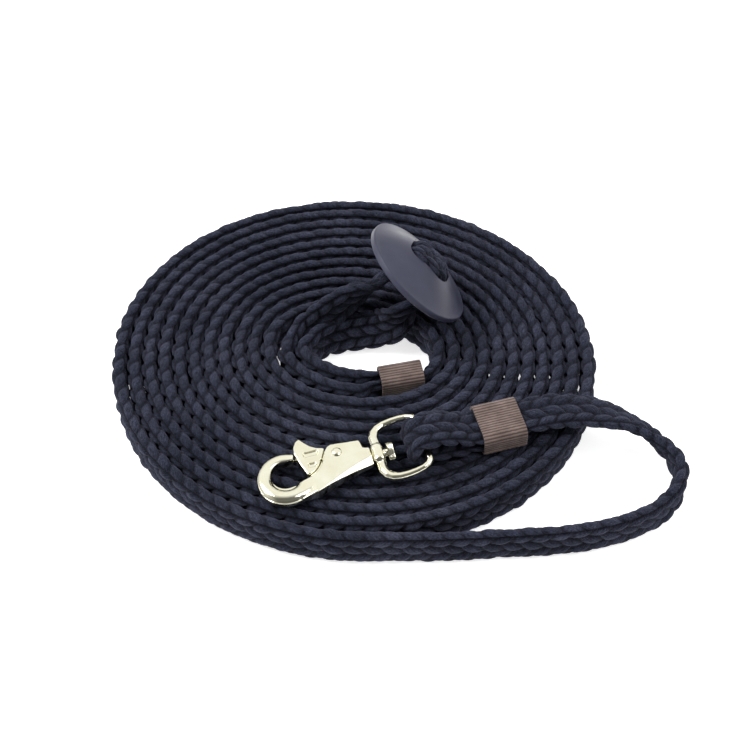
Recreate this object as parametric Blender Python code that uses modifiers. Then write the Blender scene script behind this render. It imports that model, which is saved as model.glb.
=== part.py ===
"""Coiled lunge line: a flat braided rope with a swivel trigger snap and a rubber stop at its two ends.

Metres, +Z up, origin at the middle of the model's box, on the floor. +X runs along the coil's long side,
and -Y is the side the snap lies on. The rope stands on edge in a flat spiral. Its outer end leaves the
coil at the front, lies in an open loop on the floor at +X, climbs on to the coil and is folded through
the snap's swivel bow. Its inner end is folded into a hand loop that passes over the bar of a rubber stop.
"""

import math

import bmesh
import bpy
from mathutils import Matrix, Vector

GAP = 0.0003                       # clearance between pieces that touch on the real object

# Rope
ROPE_WIDTH = 0.025
ROPE_THICKNESS = 0.009
PRESSED_THICKNESS = 0.0064         # each ply inside a sleeve
ROPE_ROUNDING = 0.0034             # corner radius of the rope's section
ROPE_STEP = 0.0065                 # spacing of the rope's sections
STRAIGHT_LEAD = 0.005              # the rope runs straight this far past the mouth of a sleeve
HAND_PLY = 0.0104                  # spacing of the hand loop's plies beside the coil
HAND_LOOP_FROM_END = 0.18          # turns from the coil's end to where the plies run beside the coil

# Coil: the rope's middle line runs clockwise, seen from above, from an outer to an inner ellipse
COIL_CENTRE = Vector((-0.0234, -0.0028, 0.0))
OUTER_CENTRE, OUTER_RADII = Vector((0.0012, 0.0048, 0)), (0.1459, 0.1288)
INNER_CENTRE, INNER_RADII = Vector((0.0012, 0.0116, 0)), (0.0476, 0.0322)
SPIRAL_TURNS = 11.0                # turns between the two ellipses
COIL_END = 10.835                  # the coil ends here, at the hand loop's sleeve
COIL_START_ANGLE = math.radians(-83)
COIL_TILT = math.radians(-6.5)     # the ellipses' long axis, from X
OUTLINE_POINTS = 90                # points along one turn of the coil's outline

# Snap line: the vertical plane that the sleeve, the eye, the bow and the snap lie in
SNAP_HEADING = math.radians(16)
BOW_PITCH = math.radians(12)       # the bow rises from the snap to the eye
SNAP_PITCH = math.radians(2)       # the snap rises from its hook to the bow
CROSSBAR = COIL_CENTRE + Vector((0.0139, -0.0745, 0.0320))

# Swivel bow, a D-shaped ring
BOW_LENGTH = 0.027                 # from the crossbar's axis to the far bar's axis
BOW_BAR_RADIUS = 0.0026            # of the far bar
BOW_CROSSBAR_RADIUS = 0.0033
BOW_SIDE = [(0.0270, 0.0129, 0.0026), (0.0265, 0.0151, 0.0024), (0.0252, 0.0168, 0.0022),
            (0.0222, 0.0182, 0.0021), (0.0180, 0.0190, 0.0021), (0.0130, 0.0192, 0.0022),
            (0.0080, 0.0187, 0.0024), (0.0042, 0.0174, 0.0027), (0.0014, 0.0150, 0.0031)]
CROSSBAR_HALF = 0.0118             # half the straight length of the crossbar
BORE_RADIUS = 0.0034
BOSS_SIZE = (0.0074, 0.0130, 0.0096)

# Snap body, in its own frame: X along the swivel axis towards the bow, Z out of its flat face
BODY_THICKNESS = 0.0078
BODY_BEVEL = 0.0016
HOOK_CENTRE, HOOK_RADIUS = (-0.0550, -0.0020), 0.0165
THROAT_CENTRE, THROAT_RADIUS = (-0.0545, 0.0008), 0.0086
COLLAR_X = -0.0044                 # the body's end, next to the crossbar
NECK_RADIUS = 0.0025
HEAD_RADIUS, HEAD_START, HEAD_END = 0.0058, 0.0052, 0.0098
SLOT_HALF = 0.0024                 # half the width of the slot between the cheeks
PIVOT = (-0.0229, 0.0065)          # the trigger's rivet
RIVET_RADIUS, RIVET_HOLE, RIVET_HEAD = 0.0016, 0.0019, 0.0029

# Trigger
TONGUE_HALF = 0.0020
PAD_HALF = 0.0036
SPRING_WIRE, SPRING_RADIUS, SPRING_TURNS = 0.0003, 0.0026, 2.25
SPRING_PITCH = 0.0007
POCKET_FLOOR = -0.0007             # floor of the trigger's pocket for the spring

# Tape sleeves
TAPE = 0.001
SLEEVE_LENGTH = 0.026
SNAP_SLEEVE_FROM_BAR = 0.046       # from the far bar's axis to the sleeve's middle
HAND_SLEEVE_CENTRE = COIL_CENTRE + Vector((0.0275, -0.0098, ROPE_WIDTH / 2 + TAPE + GAP))
HAND_SLEEVE_HEADING = math.radians(12)

# Rubber stop
STOP_RADIUS = 0.037
STOP_RIM = 0.0020                  # half the thickness at the rim
STOP_CROWN = 0.0140                # height of the domed face at the middle; the back is flat
STOP_NORMAL = Vector((0.68, 0.215, 0.70)).normalized()
STOP_SLOT_LINE = Vector((0.705, -0.455, -0.544))
STOP_CENTRE_XY = COIL_CENTRE + Vector((0.0376, 0.0450, 0))
SLOT_OFFSET = 0.0115               # from the stop's middle to the middle of each slot
BAR_TOP = 0.0085                   # the bar is sunk below the crown

COLOURS = {
    "rope": ((0.012, 0.014, 0.028), 0.95, 0.0),
    "tape": ((0.190, 0.125, 0.090), 0.85, 0.0),
    "brass": ((0.800, 0.620, 0.300), 0.20, 1.0),
    "rubber": ((0.100, 0.105, 0.150), 0.45, 0.0),
    "spring_steel": ((0.500, 0.500, 0.500), 0.30, 1.0),
}


# ---------------------------------------------------------------- scene helpers

def new_collection(name):
    collection = bpy.data.collections.new(name)
    bpy.context.scene.collection.children.link(collection)
    return collection


def material(name):
    found = bpy.data.materials.get(name)
    if found:
        return found
    colour, roughness, metallic = COLOURS[name]
    made = bpy.data.materials.new(name)
    made.use_nodes = True
    shader = made.node_tree.nodes["Principled BSDF"]
    shader.inputs["Base Color"].default_value = (*colour, 1)
    shader.inputs["Roughness"].default_value = roughness
    shader.inputs["Metallic"].default_value = metallic
    return made


def add_object(name, data, collection, finish=None):
    made = bpy.data.objects.new(name, data)
    collection.objects.link(made)
    if finish:
        data.materials.append(material(finish))
    return made


def mesh_from(build):
    """A mesh from a function that fills a bmesh."""
    shape = bmesh.new()
    build(shape)
    bmesh.ops.recalc_face_normals(shape, faces=shape.faces)
    data = bpy.data.meshes.new("shape")
    shape.to_mesh(data)
    shape.free()
    return data


def outline_mesh(name, outlines, half_height):
    """A flat outline, with any holes, given a thickness and turned into a mesh centred on Z = 0."""
    curve = bpy.data.curves.new(name, "CURVE")
    curve.dimensions = "2D"
    curve.fill_mode = "BOTH"
    curve.extrude = half_height
    for outline in outlines:
        spline = curve.splines.new("POLY")
        spline.points.add(len(outline) - 1)
        for point, place in zip(spline.points, outline):
            point.co = (place[0], place[1], 0, 1)
        spline.use_cyclic_u = True
    return curve_to_mesh(curve)


def curve_to_mesh(curve):
    holder = bpy.data.objects.new("outline", curve)
    bpy.context.scene.collection.objects.link(holder)
    depsgraph = bpy.context.evaluated_depsgraph_get()
    data = bpy.data.meshes.new_from_object(holder.evaluated_get(depsgraph))
    bpy.data.objects.remove(holder)
    shape = bmesh.new()
    shape.from_mesh(data)
    bmesh.ops.remove_doubles(shape, verts=shape.verts, dist=1e-6)
    bmesh.ops.recalc_face_normals(shape, faces=shape.faces)
    shape.to_mesh(data)
    shape.free()
    return data


def cutter(name, data, place):
    made = add_object(name, data, cutters)
    made.matrix_world = place
    made.hide_render = True
    made.display_type = "WIRE"
    return made


def boolean(target, tool, operation="DIFFERENCE"):
    change = target.modifiers.new(tool.name, "BOOLEAN")
    change.operation = operation
    change.solver = "EXACT"
    change.object = tool


def bevel(target, width, segments, angle=35):
    change = target.modifiers.new("edges", "BEVEL")
    change.width = width
    change.segments = segments
    change.limit_method = "ANGLE"
    change.angle_limit = math.radians(angle)


def smooth(target, angle=40):
    target.data.shade_smooth()
    target.data.set_sharp_from_angle(angle=math.radians(angle))


def box_mesh(size, centre=(0, 0, 0)):
    def build(shape):
        place = Matrix.Translation(centre) @ Matrix.Diagonal((*size, 1))
        bmesh.ops.create_cube(shape, size=1, matrix=place)
    return mesh_from(build)


def cylinder_mesh(radius, start, end, sides=32):
    """A cylinder along Z from start to end."""
    def build(shape):
        place = Matrix.Translation((0, 0, (start + end) / 2))
        bmesh.ops.create_cone(shape, cap_ends=True, segments=sides, radius1=radius, radius2=radius,
                              depth=end - start, matrix=place)
    return mesh_from(build)


def turned(name, profile, collection, finish, steps):
    """A profile of (radius, height) pairs from top to bottom, turned about Z."""
    data = bpy.data.meshes.new(name)
    points = [(radius, 0, height) for radius, height in profile]
    data.from_pydata(points, [(i, i + 1) for i in range(len(points) - 1)], [])
    made = add_object(name, data, collection, finish)
    screw = made.modifiers.new("turn", "SCREW")
    screw.steps = steps
    screw.render_steps = steps
    screw.use_merge_vertices = True
    screw.merge_threshold = 1e-5
    screw.use_normal_calculate = False
    return made


def arc(centre, radius, start, end, count):
    """Points on an arc, from the start angle to the end angle, in degrees."""
    angles = (math.radians(start + (end - start) * i / (count - 1)) for i in range(count))
    return [(centre[0] + radius * math.cos(a), centre[1] + radius * math.sin(a)) for a in angles]


# ---------------------------------------------------------------- rope

def coil_point(turns, inward=0.0):
    """The rope's middle line after some turns of the spiral, moved towards the inside."""
    share = turns / SPIRAL_TURNS
    angle = COIL_START_ANGLE - COIL_TILT - math.tau * turns
    centre = OUTER_CENTRE.lerp(INNER_CENTRE, share)
    across = OUTER_RADII[0] + (INNER_RADII[0] - OUTER_RADII[0]) * share
    along = OUTER_RADII[1] + (INNER_RADII[1] - OUTER_RADII[1]) * share
    spoke = Vector((across * math.cos(angle), along * math.sin(angle), 0))
    outward = Vector((along * math.cos(angle), across * math.sin(angle), 0)).normalized()
    return COIL_CENTRE + centre + Matrix.Rotation(COIL_TILT, 3, "Z") @ (spoke - outward * inward)


def coil_run(start, end, inward, count=OUTLINE_POINTS):
    return [coil_point(start + (end - start) * i / count, inward) for i in range(count + 1)]


def smooth_route(knots, step):
    """A smooth curve through the knots, read every step. A knot is (place, width direction, thickness)."""
    places = [Vector(place) for place, _, _ in knots]
    widths = [Vector(width).normalized() for _, width, _ in knots]
    thicknesses = [thickness for _, _, thickness in knots]
    route = []
    for i in range(len(knots) - 1):
        before = places[max(i - 1, 0)]
        after = places[min(i + 2, len(knots) - 1)]
        start, end = places[i], places[i + 1]
        length = (end - start).length
        leave = (end - before).normalized() * length
        arrive = (after - start).normalized() * length
        pieces = max(1, round(length / step))
        for k in range(pieces):
            t = k / pieces
            place = (start * (2 * t**3 - 3 * t**2 + 1) + leave * (t**3 - 2 * t**2 + t)
                     + end * (3 * t**2 - 2 * t**3) + arrive * (t**3 - t**2))
            thickness = thicknesses[i] + (thicknesses[i + 1] - thicknesses[i]) * t
            route.append((place, widths[i].lerp(widths[i + 1], t), thickness))
    route.append((places[-1], widths[-1], thicknesses[-1]))
    return route


def rope_section(thickness):
    """The rope's section as (across the width, through the thickness) pairs."""
    radius = min(ROPE_ROUNDING, thickness / 2 - 0.0002)
    points = []
    for quarter, (side, face) in enumerate([(1, 1), (-1, 1), (-1, -1), (1, -1)]):
        centre = (side * (ROPE_WIDTH / 2 - radius), face * (thickness / 2 - radius))
        points += arc(centre, radius, 90 * quarter, 90 * quarter + 90, 3)
    return points


def rope_run(name, route):
    """A flat rope along a smooth route: a loft, because the section turns and is pressed as it goes."""
    def build(shape):
        rings = []
        for i, (place, width_way, thickness) in enumerate(route):
            tangent = (route[min(i + 1, len(route) - 1)][0] - route[max(i - 1, 0)][0]).normalized()
            across = (width_way - tangent * width_way.dot(tangent)).normalized()
            through = tangent.cross(across)
            section = rope_section(thickness)
            rings.append([shape.verts.new(place + across * a + through * b) for a, b in section])
        sides = len(rings[0])
        for near, far in zip(rings, rings[1:]):
            for k in range(sides):
                shape.faces.new((near[k], near[(k + 1) % sides], far[(k + 1) % sides], far[k]))
        shape.faces.new(rings[0])
        shape.faces.new(rings[-1])

    made = add_object(name, mesh_from(build), parts, "rope")
    smooth(made)
    return made


def build_coil():
    """One closed solid of the coil's outer shape, with a step where each end of the rope leaves it."""
    half = ROPE_THICKNESS / 2
    outer = coil_run(0, 1, -half)
    inner = coil_run(COIL_END - 1, COIL_END, half)
    data = outline_mesh("coil_outline", [outer, inner], ROPE_WIDTH / 2)
    coil = add_object("rope_coil", data, parts, "rope")
    coil.location.z = ROPE_WIDTH / 2
    smooth(coil)


def on_snap_line(distance, height):
    """A point in the snap line's plane, a distance past the far bar's axis towards the sleeve."""
    way = Vector((math.cos(SNAP_HEADING), math.sin(SNAP_HEADING), 0))
    bar = far_bar_centre()
    return Vector((bar.x, bar.y, 0)) + way * distance + Vector((0, 0, height))


def far_bar_centre():
    return bow_frame() @ Vector((BOW_LENGTH, 0, 0))


def sleeve_height():
    """Height of the snap sleeve's middle, resting on the coil."""
    return ROPE_WIDTH + GAP + TAPE + GAP + PRESSED_THICKNESS + GAP / 2


def build_snap_eye():
    """Two plies through the sleeve, folded round the bow's far bar."""
    across = Vector((-math.sin(SNAP_HEADING), math.cos(SNAP_HEADING), 0))
    bar = far_bar_centre().z
    fold = BOW_BAR_RADIUS + GAP + ROPE_THICKNESS / 2
    ply = (PRESSED_THICKNESS + GAP) / 2
    middle = sleeve_height()
    sleeve_near = SNAP_SLEEVE_FROM_BAR - SLEEVE_LENGTH / 2
    straight = [sleeve_near + SLEEVE_LENGTH, sleeve_near, sleeve_near - STRAIGHT_LEAD]
    upper = [(x, middle + ply, PRESSED_THICKNESS) for x in straight]
    upper += [(0.017, bar + 0.0042, 0.0084), (0.006, bar + 0.0071, ROPE_THICKNESS)]
    lower = [(0.006, bar - 0.0074, ROPE_THICKNESS), (0.017, bar - 0.0078, 0.0084)]
    lower += [(x, middle - ply, PRESSED_THICKNESS) for x in reversed(straight)]
    turn = [(x, bar + z, ROPE_THICKNESS) for x, z in arc((0, 0), fold, 90, 270, 9)]
    knots = [(on_snap_line(x, z), across, thickness) for x, z, thickness in upper + turn + lower]
    rope_run("rope_snap_eye", smooth_route(knots, ROPE_STEP))


def build_free_loop():
    """From the coil's outer end round on the floor, and up on to the coil to the snap sleeve."""
    stand = (0, 0, 1)
    flat = (math.sin(SNAP_HEADING), -math.cos(SNAP_HEADING), 0)
    low = ROPE_WIDTH / 2
    start = coil_point(0) + (coil_point(0) - coil_point(0.001)).normalized() * 2 * GAP
    start.z = low
    sleeve_far = SNAP_SLEEVE_FROM_BAR + SLEEVE_LENGTH / 2 + 2 * GAP
    arrival = [on_snap_line(sleeve_far + x, sleeve_height() + (PRESSED_THICKNESS + GAP) / 2)
               for x in (STRAIGHT_LEAD, 0)]
    floor_route = [(0.045, -0.1240), (0.075, -0.1226), (0.105, -0.1206), (0.131, -0.1175), (0.1525, -0.1120),
                   (0.171, -0.1030), (0.184, -0.0900), (0.1888, -0.0755)]
    climb = [((0.1858, -0.0625, 0.0140), (-0.10, -0.25, 0.95)),
             ((0.1755, -0.0525, 0.0185), (-0.20, -0.45, 0.85)),
             ((0.161, -0.0465, 0.0255), (-0.12, -0.75, 0.62)),
             ((0.141, -0.0445, 0.0320), (-0.05, -0.97, 0.22)),
             ((0.119, -0.0455, 0.0352), (0.15, -0.98, 0.03))]
    knots = [(start, stand, ROPE_THICKNESS)]
    knots += [(COIL_CENTRE + Vector((x, y, low)), stand, ROPE_THICKNESS) for x, y in floor_route]
    knots += [(COIL_CENTRE + Vector(place), width, ROPE_THICKNESS) for place, width in climb]
    knots += [(place, flat, PRESSED_THICKNESS) for place in arrival]
    rope_run("rope_free_loop", smooth_route(knots, 0.0125))


def build_hand_loop():
    """Two plies from the hand sleeve round the coil's hole, and over the bar of the stop."""
    stand = Vector((0, 0, 1))
    low = Vector((0, 0, ROPE_WIDTH / 2 + GAP))
    frame = stop_frame()
    width = frame.to_3x3() @ Vector((0, -1, 0))

    def beside_coil(last, plies, count):
        first = COIL_END + HAND_LOOP_FROM_END
        return [(coil_point(first + (last - first) * i / count - 1, plies * HAND_PLY + GAP) + low,
                 stand, ROPE_THICKNESS) for i in range(count + 1)]

    def placed(*places):
        return [(COIL_CENTRE + Vector(place), way, ROPE_THICKNESS) for place, way in places]

    def by_stop(slot, *heights):
        return [(frame @ Vector((slot, 0, height)), width, ROPE_THICKNESS) for height in heights]

    along = Vector((math.cos(HAND_SLEEVE_HEADING), math.sin(HAND_SLEEVE_HEADING), 0))
    side = Vector((-along.y, along.x, 0))
    end = SLEEVE_LENGTH / 2

    def in_sleeve(plies):
        return [(HAND_SLEEVE_CENTRE + along * distance + side * plies * (PRESSED_THICKNESS + GAP), stand,
                 PRESSED_THICKNESS) for distance in (end, -end, -end - STRAIGHT_LEAD)]

    outer = in_sleeve(-0.5) + beside_coil(COIL_END + 0.41, 1, 6)
    outer += placed(((-0.0305, 0.0285, 0.0205), (-0.35, 0.25, 0.90)),
                    ((-0.0180, 0.0352, 0.0300), (-0.35, 0.10, 0.90)),
                    ((-0.0050, 0.0410, 0.0402), (-0.35, -0.15, 0.90)))
    outer += by_stop(-SLOT_OFFSET, -0.020, -0.010, 0.0)
    inner = in_sleeve(0.5) + beside_coil(COIL_END + 0.46, 2, 6)
    inner += placed(((-0.0190, 0.0262, 0.0129), (0.00, 0.20, 0.98)),
                    ((-0.0050, 0.0312, 0.0131), (0.00, 0.20, 0.98)),
                    ((0.0080, 0.0315, 0.0145), (-0.10, 0.10, 0.98)),
                    ((0.0170, 0.0290, 0.0195), (-0.20, 0.00, 0.98)),
                    ((0.0225, 0.0275, 0.0325), (-0.30, -0.15, 0.94)),
                    ((0.0295, 0.0315, 0.0385), (-0.26, -0.60, 0.75)))
    inner += by_stop(SLOT_OFFSET, -0.011, -0.0055, 0.0)
    bend = 0.0052
    crest = BAR_TOP + GAP + ROPE_THICKNESS / 2
    corner = arc((-(SLOT_OFFSET - bend), crest - bend), bend, 180, 90, 5)
    corner += [(-x, z) for x, z in reversed(corner)]
    over = [(frame @ Vector((x, 0, z)), width, ROPE_THICKNESS) for x, z in corner]
    rope_run("rope_hand_loop", smooth_route(outer + over + inner[::-1], ROPE_STEP))


# ---------------------------------------------------------------- tape sleeves

def build_sleeve(name, frame, width, height):
    """A band of tape with an opening along X for two plies of rope."""
    outer = add_object(name, box_mesh((SLEEVE_LENGTH, width + 2 * TAPE, height + 2 * TAPE)), parts, "tape")
    outer.matrix_world = frame
    bevel(outer, 0.0018, 3)
    boolean(outer, cutter(name + "_opening", box_mesh((2 * SLEEVE_LENGTH, width, height)), frame))


def build_sleeves():
    opening = ROPE_WIDTH + 2 * GAP
    turn = Matrix.Rotation(SNAP_HEADING, 4, "Z")
    place = Matrix.Translation(on_snap_line(SNAP_SLEEVE_FROM_BAR, sleeve_height()))
    build_sleeve("snap_sleeve", place @ turn, opening, 2 * PRESSED_THICKNESS + 3 * GAP)
    turn = Matrix.Rotation(HAND_SLEEVE_HEADING, 4, "Z")
    place = Matrix.Translation(HAND_SLEEVE_CENTRE)
    build_sleeve("hand_sleeve", place @ turn, 2 * PRESSED_THICKNESS + 3 * GAP, opening)


# ---------------------------------------------------------------- rubber stop

def stop_frame():
    """X along the line of the two slots, Z out of the stop's upper face. The rim rests on the coil."""
    line = (STOP_SLOT_LINE - STOP_NORMAL * STOP_SLOT_LINE.dot(STOP_NORMAL)).normalized()
    side = STOP_NORMAL.cross(line)
    slope = math.sqrt(1 - STOP_NORMAL.z**2)
    height = ROPE_WIDTH + 2 * GAP + STOP_RADIUS * slope + STOP_RIM * STOP_NORMAL.z
    frame = Matrix((line, side, STOP_NORMAL)).transposed().to_4x4()
    frame.translation = STOP_CENTRE_XY + Vector((0, 0, height))
    return frame


def build_stop():
    """A domed rubber disc with two slots and a sunk bar between them."""
    rings = 7
    face = []
    for i in range(rings):
        share = i / (rings - 1)
        height = STOP_RIM + (STOP_CROWN - STOP_RIM) * math.cos(share * math.pi / 2) ** 1.2
        face.append(((STOP_RADIUS - 0.0008) * share, height))
    rim = [(STOP_RADIUS, STOP_RIM - 0.0007), (STOP_RADIUS, 0.0007 - STOP_RIM)]
    profile = face + rim + [(radius, -STOP_RIM) for radius, _ in reversed(face)]
    stop = turned("stopper_disc", profile, parts, "rubber", 64)
    stop.matrix_world = stop_frame()
    smooth(stop)
    slot_width = ROPE_THICKNESS + 0.0008
    slot_length = ROPE_WIDTH + 0.0008
    for name, offset in (("stop_slot_a", -SLOT_OFFSET), ("stop_slot_b", SLOT_OFFSET)):
        boolean(stop, cutter(name, box_mesh((slot_width, slot_length, 0.04), (offset, 0, 0)), stop_frame()))
    sunk = box_mesh((2 * SLOT_OFFSET, slot_length, 0.02), (0, 0, BAR_TOP + 0.01))
    boolean(stop, cutter("stop_bar_top", sunk, stop_frame()))


# ---------------------------------------------------------------- swivel bow

def bow_frame():
    turn = Matrix.Rotation(SNAP_HEADING, 4, "Z") @ Matrix.Rotation(-BOW_PITCH, 4, "Y")
    return Matrix.Translation(CROSSBAR) @ turn


def snap_frame():
    turn = Matrix.Rotation(SNAP_HEADING, 4, "Z") @ Matrix.Rotation(-SNAP_PITCH, 4, "Y")
    return Matrix.Translation(CROSSBAR) @ turn


def build_bow():
    """A D-shaped ring with a drilled boss in the middle of its crossbar."""
    half = BOW_SIDE + [(0, CROSSBAR_HALF, BOW_CROSSBAR_RADIUS)]
    ring = half + [(x, -y, radius) for x, y, radius in reversed(half)]
    curve = bpy.data.curves.new("bow_ring", "CURVE")
    curve.dimensions = "3D"
    curve.bevel_depth = BOW_BAR_RADIUS
    curve.bevel_resolution = 3
    spline = curve.splines.new("POLY")
    spline.points.add(len(ring) - 1)
    for point, (x, y, radius) in zip(spline.points, ring):
        point.co = (x, y, 0, 1)
        point.radius = radius / BOW_BAR_RADIUS
    spline.use_cyclic_u = True
    bow = add_object("swivel_bow", curve_to_mesh(curve), parts, "brass")
    bow.matrix_world = bow_frame()
    smooth(bow)
    boss = cutter("bow_boss", box_mesh(BOSS_SIZE), bow_frame())
    bevel(boss, 0.0028, 4)
    boolean(bow, boss, "UNION")
    along = Matrix.Rotation(math.pi / 2, 4, "Y")
    boolean(bow, cutter("bow_bore", cylinder_mesh(BORE_RADIUS, -0.01, 0.01), bow_frame() @ along))


# ---------------------------------------------------------------- snap body

def body_outline():
    spine = [(COLLAR_X, -0.0064), (-0.0160, -0.0088), (-0.0280, -0.0122), (-0.0390, -0.0161)]
    hook = arc(HOOK_CENTRE, HOOK_RADIUS, -68, -299, 30)
    tip = [(-0.0482, 0.0088)]
    throat = arc(THROAT_CENTRE, THROAT_RADIUS, 80, 282, 16)
    cheek = [(-0.0485, -0.0071), (-0.0440, -0.0062), (-0.0405, -0.0051), (-0.0368, -0.0032),
             (-0.0337, 0.0000), (-0.0312, 0.0046), (-0.0290, 0.0096), (-0.0272, 0.0118), (-0.0250, 0.0127)]
    shoulder = [(-0.0086, 0.0108), (-0.0078, 0.0054), (COLLAR_X, 0.0040)]
    return spine + hook + tip + throat + cheek + shoulder


def build_body():
    """Hook, cheeks, neck and peened head in one casting, with a slot between the cheeks."""
    body = add_object("snap_body", outline_mesh("body", [body_outline()], BODY_THICKNESS / 2), parts, "brass")
    body.matrix_world = snap_frame()
    bevel(body, BODY_BEVEL, 3)
    slot = [(-0.0445, -0.0056), (-0.0390, -0.0083), (-0.0270, -0.0037), (-0.0165, 0.0008), (-0.0165, 0.030),
            (-0.052, 0.030)]
    boolean(body, cutter("body_slot", outline_mesh("slot", [slot], SLOT_HALF), snap_frame()))
    pivot = snap_frame() @ Matrix.Translation((*PIVOT, 0))
    boolean(body, cutter("body_rivet_hole", cylinder_mesh(RIVET_HOLE, -0.01, 0.01, 24), pivot))
    profile = [(0, 0), (HEAD_RADIUS - 0.0012, 0), (HEAD_RADIUS, -0.001), (HEAD_RADIUS, HEAD_START - HEAD_END),
               (NECK_RADIUS, HEAD_START - HEAD_END), (NECK_RADIUS, -0.016), (0, -0.016)]
    stud = turned("swivel_stud", profile, cutters, None, 32)
    along = Matrix.Rotation(math.pi / 2, 4, "Y")
    stud.matrix_world = snap_frame() @ Matrix.Translation((HEAD_END, 0, 0)) @ along
    stud.hide_render = True
    stud.display_type = "WIRE"
    boolean(body, stud, "UNION")
    smooth(body)


def build_rivet():
    """A pin with a low domed head on each cheek."""
    face = BODY_THICKNESS / 2 + GAP
    head = [(0, face + 0.0012), (0.0014, face + 0.0010), (0.0024, face + 0.0005), (RIVET_HEAD, face)]
    profile = head + [(RIVET_RADIUS, face), (RIVET_RADIUS, -face)] + [(r, -z) for r, z in reversed(head)]
    rivet = turned("trigger_rivet", profile, parts, "brass", 24)
    rivet.matrix_world = snap_frame() @ Matrix.Translation((*PIVOT, 0))
    smooth(rivet)


def build_trigger():
    """A thumb lever: a thick pad that closes the hook, and a thin tongue on the rivet between the cheeks."""
    front = [(-0.0467, 0.0130), (-0.0450, 0.0044), (-0.0427, -0.0034)]
    spur = [(-0.0288, 0.0117), (-0.0330, 0.0132), (-0.0366, 0.0157), (-0.0392, 0.0190), (-0.0414, 0.0221),
            (-0.0441, 0.0205), (-0.0460, 0.0172)]
    beside_cheek = [(-0.0408, -0.0036), (-0.0376, -0.0019), (-0.0346, 0.0010), (-0.0321, 0.0052)]
    pad = add_object("trigger", outline_mesh("pad", [front + beside_cheek + spur], PAD_HALF), parts, "brass")
    pad.matrix_world = snap_frame()
    bevel(pad, 0.0009, 2)
    boss = arc(PIVOT, 0.0042, -70, 95, 10)
    tongue_outline = [(-0.0456, 0.0118), (-0.0442, 0.0048), (-0.0421, -0.0030), (-0.0384, -0.0066),
                      (-0.0268, -0.0020)] + boss
    tongue_outline += [(-0.0300, 0.0106), (-0.0400, 0.0112)]
    tongue = cutter("tongue", outline_mesh("tongue", [tongue_outline], TONGUE_HALF), snap_frame())
    boolean(pad, tongue, "UNION")
    pivot = snap_frame() @ Matrix.Translation((*PIVOT, 0))
    boolean(pad, cutter("trigger_hole", cylinder_mesh(RIVET_HOLE, -0.01, 0.01, 24), pivot))
    boolean(pad, cutter("spring_pocket", cylinder_mesh(0.0038, POCKET_FLOOR, 0.01, 32), pivot))
    channel = box_mesh((0.010, 0.0014, 0.006), (-0.0055, -0.0026, POCKET_FLOOR + 0.003))
    boolean(pad, cutter("spring_channel", channel, pivot))
    for name, place, size in (("recess_long", (-0.0374, 0.0100), (0.0084, 0.0030)),
                              ("recess_short", (-0.0384, 0.0022), (0.0044, 0.0026))):
        for side in (1, -1):
            spot = snap_frame() @ Matrix.Translation((*place, side * PAD_HALF))
            recess = cutter(name + ("_top" if side > 0 else "_under"), box_mesh((*size, 0.0018)), spot)
            boolean(pad, recess)
    smooth(pad)


def build_spring():
    """A torsion spring round the rivet, with one leg along the trigger and one against the body."""
    steps = round(16 * SPRING_TURNS)
    curve = bpy.data.curves.new("trigger_spring", "CURVE")
    curve.dimensions = "3D"
    curve.bevel_depth = SPRING_WIRE
    curve.bevel_resolution = 1
    curve.use_fill_caps = True
    lowest = POCKET_FLOOR + SPRING_WIRE + GAP
    coil = []
    for i in range(steps + 1):
        angle = math.radians(-90) + math.tau * i / 16
        height = lowest + SPRING_PITCH * i / 16
        coil.append((SPRING_RADIUS * math.cos(angle), SPRING_RADIUS * math.sin(angle), height))
    start, end = coil[0], coil[-1]
    legs_in = [(-0.0095, start[1], start[2]), (-0.0045, start[1], start[2])]
    legs_out = [(end[0], end[1] + 0.0010, end[2]), (end[0] - 0.0004, end[1] + 0.0022, end[2])]
    route = legs_in + coil + legs_out
    spline = curve.splines.new("POLY")
    spline.points.add(len(route) - 1)
    for point, place in zip(spline.points, route):
        point.co = (*place, 1)
    spring = add_object("trigger_spring", curve, parts, "spring_steel")
    spring.matrix_world = snap_frame() @ Matrix.Translation((*PIVOT, 0))


# ---------------------------------------------------------------- build

for leftover in list(bpy.data.objects):
    bpy.data.objects.remove(leftover)

parts = new_collection("lunge_line")
cutters = new_collection("cutters")

build_coil()
build_free_loop()
build_snap_eye()
build_hand_loop()
build_sleeves()
build_stop()
build_bow()
build_body()
build_rivet()
build_trigger()
build_spring()
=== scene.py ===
"""Looks of the coiled lunge line: the braided rope as one continuous mesh, woven tape sleeves, a rubber stop
and a cast, polished snap. Metres, in the same frame as the CAD."""

import math

import bmesh
import bpy
import numpy as np
from mathutils import Matrix, Vector


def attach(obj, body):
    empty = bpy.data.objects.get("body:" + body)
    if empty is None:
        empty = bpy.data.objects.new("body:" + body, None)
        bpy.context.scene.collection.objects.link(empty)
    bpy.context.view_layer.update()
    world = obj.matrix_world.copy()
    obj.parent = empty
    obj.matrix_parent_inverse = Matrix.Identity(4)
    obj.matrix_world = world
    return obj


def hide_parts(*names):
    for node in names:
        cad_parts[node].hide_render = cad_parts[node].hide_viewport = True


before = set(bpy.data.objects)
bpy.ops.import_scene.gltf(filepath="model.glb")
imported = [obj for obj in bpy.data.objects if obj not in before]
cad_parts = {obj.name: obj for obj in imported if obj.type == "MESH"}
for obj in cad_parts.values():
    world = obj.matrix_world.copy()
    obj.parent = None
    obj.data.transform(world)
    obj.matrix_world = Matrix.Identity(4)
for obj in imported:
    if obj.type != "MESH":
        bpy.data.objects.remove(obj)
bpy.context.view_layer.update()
rng = np.random.default_rng(7)

GAP = 0.0003

# Rope
ROPE_WIDTH, ROPE_THICKNESS, PRESSED_THICKNESS = 0.025, 0.009, 0.0064
STRAIGHT_LEAD = 0.005
SLACK_THICKNESS = 0.0102           # where nothing presses on the rope

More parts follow.
